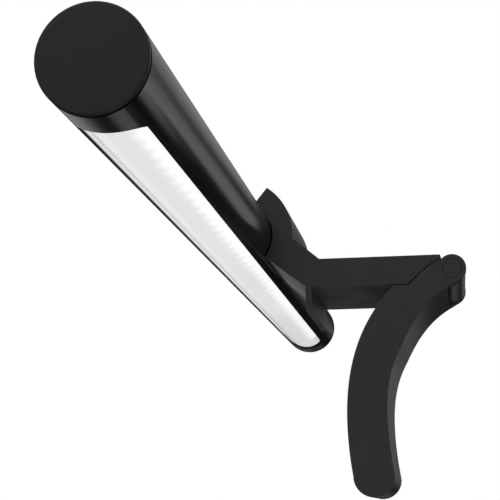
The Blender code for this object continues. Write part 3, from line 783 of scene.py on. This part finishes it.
def make_blade():
    """The curved counterweight with its two hinge ears and the open hollow in its front."""
    low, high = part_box("counterweight_shell")
    top = millimetres([(14.87, -0.2), (19.95, -0.2), (24.3, 4.15), (28.7, 7.22)])
    ear = arc(HINGE_CENTRE, EAR_RADIUS, 135.3, -54.5, 72)
    tip = arc((6.585 * MM, -63.3 * MM), 6.835 * MM, 0.0, -180.0, 64)
    outline = top + ear + REAR_CURVE[:-1] + tip + FRONT_CURVE[-2:0:-1]
    blade = prism("blade_shell", outline, low.x, high.x)
    notch = millimetres([(33.0, -1.4), (42.4, -10.1), (42.4, 12.0), (20.0, 12.0), (20.0, 10.4)])
    combine(blade, prism("notch", notch, -EAR_INNER, EAR_INNER))
    combine(blade, prism("bore", circle(HINGE_CENTRE, PIN_BORE, 48), -30 * MM, 30 * MM))
    for side in (-1, 1):
        depth = sorted((side * 26.0 * MM, side * 30 * MM))
        combine(blade, prism("recess", circle(HINGE_CENTRE, PIN_CAP_RADIUS + 0.1 * MM, 96), *depth))
    hollow_top, hollow_bottom = -12.0 * MM, -61.5 * MM
    hollow = (
        between_heights(offset(FRONT_CURVE, -3 * MM), hollow_top, hollow_bottom)
        + between_heights(offset(REAR_CURVE, -2.2 * MM), hollow_top, hollow_bottom)[::-1])
    combine(blade, prism("hollow", hollow, -24.8 * MM, 24.8 * MM))
    round_edges(blade, EDGE_ROUNDING, 3)
    return blade


def make_pad():
    """The silicone pad on the blade's front, with fine raised ribs across it."""
    low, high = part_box("grip_pad")
    face = between_heights(offset(FRONT_CURVE, -0.25 * MM), high.z, low.z)
    back = between_heights(offset(FRONT_CURVE, 0.5 * MM), high.z, low.z)
    pad = prism("grip_pad_face", face + back[::-1], low.x, high.x)
    round_edges(pad, 0.2 * MM, 3)
    length = high.z - low.z
    ends = (low.x + 1.5 * MM, high.x - 1.5 * MM)
    radius = 0.24 * MM
    profile = [(ends[0], 0.0), (ends[0], radius), (ends[1], radius), (ends[1], 0.0)]
    ribs = []
    for number in range(1, PAD_RIBS):
        height = high.z - length * number / PAD_RIBS
        y, z = between_heights(face, height, height - 1 * MM)[0]
        ribs.append(lathe("rib", profile, (y + 0.09 * MM, z), 12))
    return join(pad, *ribs)


def make_pin_cap(side):
    """The round cap over the pin's end, its rim rounded and its face very slightly dished."""
    (inner, outer), radius, rim = PIN_CAP_SPAN, PIN_CAP_RADIUS, 0.12 * MM
    profile = [
        (outer - 0.12 * MM, 0.0), (outer - 0.10 * MM, radius * 0.5), (outer - 0.02 * MM, radius * 0.86)]
    for step in range(7):
        turn = math.pi / 2 * step / 6
        profile.append((outer - rim + rim * math.cos(turn), radius - rim + rim * math.sin(turn)))
    profile += [(inner, radius), (inner, 0.0)]
    word = "right" if side > 0 else "left"
    return lathe(f"pin_button_{word}", [(side * x, r) for x, r in profile], HINGE_CENTRE, 96)


# Putting it together

NODE_FINISHES = {
    "bracket_plastic": ("counterweight_cover", "end_plug_left", "end_plug_right"),
    "white_reflector": ("reflector",),
    "bush_plastic": ("hinge_bush_left", "hinge_bush_right"),
    "bare_aluminium": ("chassis",),
    "bright_steel": (
        "keeper_plate", "torsion_spring", "hinge_pin",
        "cradle_magnet_1", "cradle_magnet_2", "cradle_magnet_3", "cradle_magnet_4",
        "cover_screw_1", "cover_screw_2", "cover_screw_3", "cover_screw_4",
        "end_plug_screw_left_1", "end_plug_screw_left_2", "end_plug_screw_right_1", "end_plug_screw_right_2"),
    "ballast_iron": ("ballast",),
    "black_silicone": ("seat_liner", "power_lead"),
    "led_board_white": ("led_board",),
    "circuit_board": ("driver_board", "radio_module"),
}


def place(item, body, slot, finishes, *nodes):
    item.data.materials.clear()
    item.data.materials.append(finishes[slot].material)
    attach(item, body)
    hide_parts(*nodes)


def build():
    finishes = make_finishes()
    place(make_tube(), "lamp", "black_anodised_tube", finishes, "bar_tube")
    place(make_lens(), "lamp", "milky_diffuser", finishes, "diffuser")
    for side, word in ((1, "right"), (-1, "left")):
        place(make_cap(side), "lamp", "end_cap_plastic", finishes, f"end_cap_{word}")
        place(make_cap_ring(side), "lamp", "black_silicone", finishes, f"cap_gasket_{word}")
        place(make_pin_cap(side), "counterweight", "bracket_plastic", finishes, f"pin_cap_{word}")
    shell, tongue = make_inlet()
    place(shell, "lamp", "bright_steel", finishes, "usb_c_port")
    place(tongue, "lamp", "black_silicone", finishes)
    place(make_bracket(), "bracket_body", "bracket_plastic", finishes, "bracket")
    place(make_blade(), "counterweight", "bracket_plastic", finishes, "counterweight_shell")
    place(make_pad(), "counterweight", "black_silicone", finishes, "grip_pad")
    for slot, names in NODE_FINISHES.items():
        for name in names:
            node = frame["nodes"][name]
            if not node.material_slots:
                node.data.materials.append(None)
            for holder in node.material_slots:
                holder.link = "OBJECT"
                holder.material = finishes[slot].material


def make_floor():
    shape = bmesh.new()
    bmesh.ops.create_grid(shape, x_segments=1, y_segments=1, size=15.0)
    floor = add_object("floor", shape)
    floor.location = (0, 0, cad_box[0].z - 0.3)
    finish = Finish("floor", (0.86, 0.86, 0.86), 0.8)
    finish.set("Base Color", finish.blend(finish.noise(1.5), (0.84, 0.84, 0.84), (0.88, 0.88, 0.88)))
    floor.data.materials.append(finish.material)
    floor.visible_glossy = False


make_camera()
make_world()
panel("key", (0.7, -0.5, 1.1), (0, 0, 0), 1.2, 6.0)
panel("fill", (-0.9, 0.9, 0.8), (0, 0, 0), 1.2, 4.0)
panel("low", (0.25, 0.10, -0.33), (0, 0, 0), 0.4, 0.3)
bpy.context.scene.view_settings.view_transform = "Standard"
build()
make_floor()
